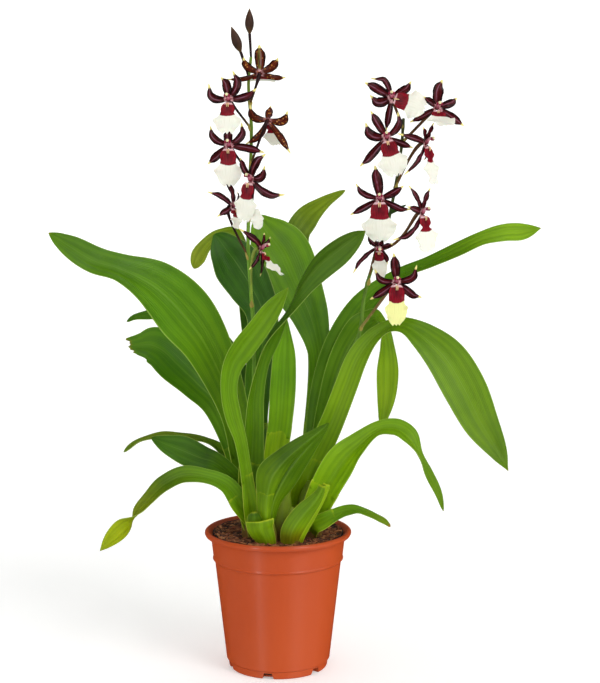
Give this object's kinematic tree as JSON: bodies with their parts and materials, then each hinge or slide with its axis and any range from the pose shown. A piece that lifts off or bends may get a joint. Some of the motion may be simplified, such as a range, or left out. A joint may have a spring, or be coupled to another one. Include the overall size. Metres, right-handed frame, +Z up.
{
  "type": "potted odontonia orchid",
  "caption": "Potted orchid with arching strap leaves, tall spikes of dark star-shaped blooms with white lips, and a round plastic nursery pot filled with bark.",
  "frame": {"origin": "centre of the pot's flat underside", "axes": "+Z up from the pot to the blooms, -Y towards the front of the plant, +X to the right seen from the front"},
  "size_m": [0.3993, 0.1952, 0.53],
  "materials": {
    "pot_plastic": "satin moulded terracotta-orange plastic",
    "bark": "rough moist orchid bark chips",
    "sheath": "smooth satin, pale veined sheaths",
    "leaf": "satin, fine lengthwise veins",
    "stalk": "smooth satin green to maroon",
    "tepal": "velvety maroon-black with pale hooked tips",
    "lip_white": "matt ruffled white with a crimson base",
    "lip_yellow": "matt ruffled pale yellow with a crimson base",
    "bud": "smooth satin brown-maroon"
  },
  "bodies": {
    "root": {"bloom_left_1": "tepal", "bloom_left_2": "tepal", "bloom_left_3": "tepal", "bloom_left_4": "tepal", "bloom_left_5": "tepal", "bloom_left_6": "tepal", "bloom_left_7": "tepal", "bloom_right_1": "tepal", "bloom_right_2": "tepal", "bloom_right_3": "tepal", "bloom_right_4": "tepal", "bloom_right_5": "tepal", "bloom_right_6": "tepal", "bloom_right_7": "tepal", "bloom_right_8": "tepal", "bud_lower": "bud", "bud_upper": "bud", "crown": "sheath", "leaf_back_broad": "leaf", "leaf_back_dark": "leaf", "leaf_back_hanging": "leaf", "leaf_back_pointed": "leaf", "leaf_centre_twisted": "leaf", "leaf_centre_upright": "leaf", "leaf_front_folded": "leaf", "leaf_front_pale": "leaf", "leaf_left_arched": "leaf", "leaf_left_back": "leaf", "leaf_left_long": "leaf", "leaf_left_low": "leaf", "leaf_left_short": "leaf", "leaf_left_torn": "leaf", "leaf_right_arching": "leaf", "leaf_right_broad": "leaf", "leaf_right_folded": "leaf", "leaf_right_long": "leaf", "leaf_right_small": "leaf", "lip_left_1": "lip_white", "lip_left_2": "lip_white", "lip_left_3": "lip_white", "lip_left_4": "lip_white", "lip_left_5": "lip_white", "lip_left_6": "lip_white", "lip_left_7": "lip_white", "lip_right_1": "lip_white", "lip_right_2": "lip_white", "lip_right_3": "lip_white", "lip_right_4": "lip_white", "lip_right_5": "lip_white", "lip_right_6": "lip_white", "lip_right_7": "lip_white", "lip_right_8": "lip_yellow", "pot": "pot_plastic", "potting_bark": "bark", "spike_left": "stalk", "spike_right": "stalk"}
  },
  "joints": []
}
